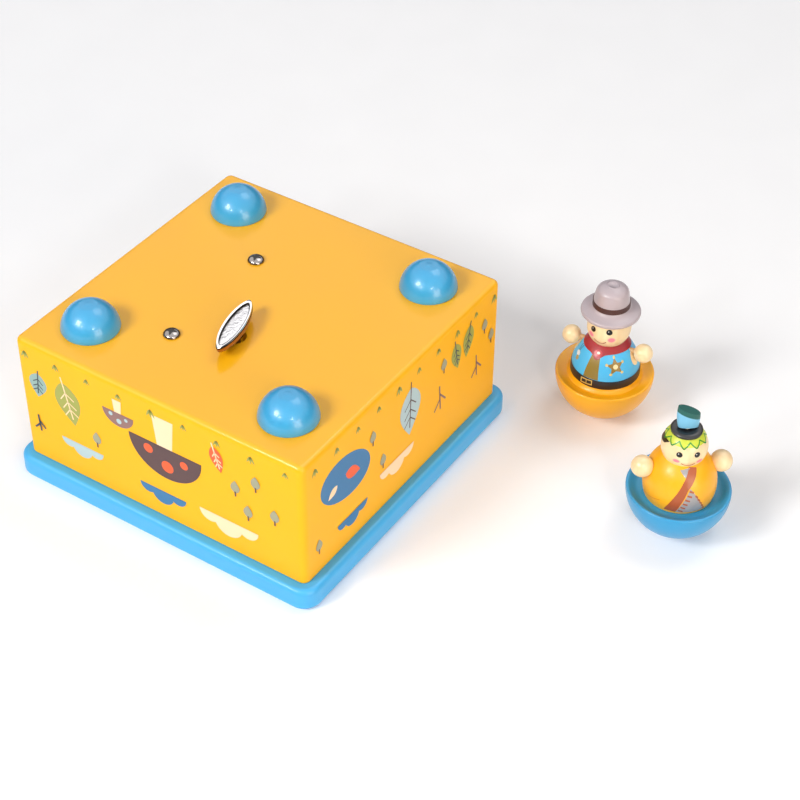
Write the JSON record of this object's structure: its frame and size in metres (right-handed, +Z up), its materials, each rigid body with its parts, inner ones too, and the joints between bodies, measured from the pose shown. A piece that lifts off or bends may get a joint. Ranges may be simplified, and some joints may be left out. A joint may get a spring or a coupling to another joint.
{
  "type": "wind-up music box",
  "caption": "Square wooden wind-up music box turned over on its stage plate, with half-ball feet, a winding key, a pinned-cylinder movement, a magnet rotor and two roly-poly figures.",
  "frame": {"origin": "centre of the stage plate's outer face, which lies on the table", "axes": "+Z up from the table through the box, out of the bottom panel; X and Y along the box's sides"},
  "size_m": [0.1862, 0.1368, 0.0582],
  "materials": {
    "yellow_paint": "yellow painted wood, satin",
    "blue_paint": "light blue painted wood, satin",
    "foot_blue": "blue painted wood, satin",
    "bare_wood": "bare beech",
    "skin_wood": "pale lacquered wood",
    "orange_paint": "orange painted wood",
    "jacket_blue": "painted wood, mid blue",
    "body_yellow": "painted wood, yellow",
    "hat_mauve": "painted wood, light mauve grey",
    "band_brown": "painted wood, dark brown",
    "band_lime": "painted wood, lime",
    "hair_black": "painted wood, black",
    "plume_blue": "painted wood, light blue",
    "chrome": "polished chrome plate",
    "steel": "bright steel",
    "cast_zinc": "plated zinc casting",
    "brass": "brass",
    "white_nylon": "moulded nylon",
    "magnet": "nickel-plated magnet"
  },
  "bodies": {
    "box": {"front_wall": "yellow_paint", "right_wall": "yellow_paint", "back_wall": "yellow_paint", "left_wall": "yellow_paint", "bottom_panel": "yellow_paint", "stage_plate": "blue_paint", "foot_front_left": "foot_blue", "foot_front_right": "foot_blue", "foot_back_right": "foot_blue", "foot_back_left": "foot_blue", "foot_dowels": "bare_wood", "rotor_pin": "brass", "bedplate": "cast_zinc", "movement_screws": "steel", "spring_housing": "brass", "mainspring": "steel", "comb": "steel", "comb_screws": "steel", "governor_frame": "brass"},
    "winder": {"winding_key": "chrome", "winding_arbor": "steel", "crown_wheel": "brass", "drive_gear": "white_nylon"},
    "cylinder": {"pinned_cylinder": "brass", "cylinder_arbor": "steel", "cylinder_pinion": "brass", "great_wheel": "brass"},
    "governor": {"governor_wheel": "brass"},
    "fan": {"governor_arbor": "steel", "governor_fan": "brass"},
    "rotor": {"rotor_gear": "white_nylon", "rotor_arm": "white_nylon", "rotor_magnets": "magnet"},
    "rider": {"rider_base": "orange_paint", "rider_magnet": "magnet", "rider_dowel": "bare_wood", "rider_body": "jacket_blue", "rider_neck_dowel": "bare_wood", "rider_hands": "skin_wood", "rider_arm_pegs": "bare_wood", "rider_head": "skin_wood", "rider_hat": "hat_mauve", "rider_hat_band": "band_brown"},
    "scout": {"scout_base": "foot_blue", "scout_magnet": "magnet", "scout_dowel": "bare_wood", "scout_body": "body_yellow", "scout_neck_dowel": "bare_wood", "scout_hands": "skin_wood", "scout_arm_pegs": "bare_wood", "scout_head": "skin_wood", "scout_headband": "band_lime", "scout_plume": "plume_blue", "scout_hair": "hair_black"}
  },
  "joints": [
    {"name": "key_turn", "type": "hinge", "parent": "box", "child": "winder", "pos_m": [0.0017, -0.0149, 0.05], "axis": [0, 0, 1], "continuous": true},
    {"name": "cylinder_turn", "type": "hinge", "parent": "box", "child": "cylinder", "pos_m": [0.0017, 0, 0.033], "axis": [0, 1, 0], "continuous": true},
    {"name": "governor_turn", "type": "hinge", "parent": "box", "child": "governor", "pos_m": [0.01025, 0.018, 0.033], "axis": [0, 1, 0], "continuous": true},
    {"name": "fan_turn", "type": "hinge", "parent": "box", "child": "fan", "pos_m": [0.01025, 0.018, 0.02656], "axis": [0, 1, 0], "continuous": true},
    {"name": "rotor_turn", "type": "hinge", "parent": "box", "child": "rotor", "pos_m": [0, 0, 0.008], "axis": [0, 0, 1], "continuous": true},
    {"name": "rider_spin", "type": "hinge", "parent": "box", "child": "rider", "pos_m": [0.0762, 0.069, 0], "axis": [0, 0, 1], "continuous": true},
    {"name": "scout_spin", "type": "hinge", "parent": "box", "child": "scout", "pos_m": [0.1184, 0.0354, 0], "axis": [0, 0, 1], "continuous": true}
  ],
  "couplings": [
    {"joint": "cylinder_turn", "follows": "key_turn", "ratio": 3.6},
    {"joint": "governor_turn", "follows": "key_turn", "ratio": -14.4},
    {"joint": "fan_turn", "follows": "key_turn", "ratio": 48},
    {"joint": "rotor_turn", "follows": "key_turn", "ratio": -0.74074}
  ]
}
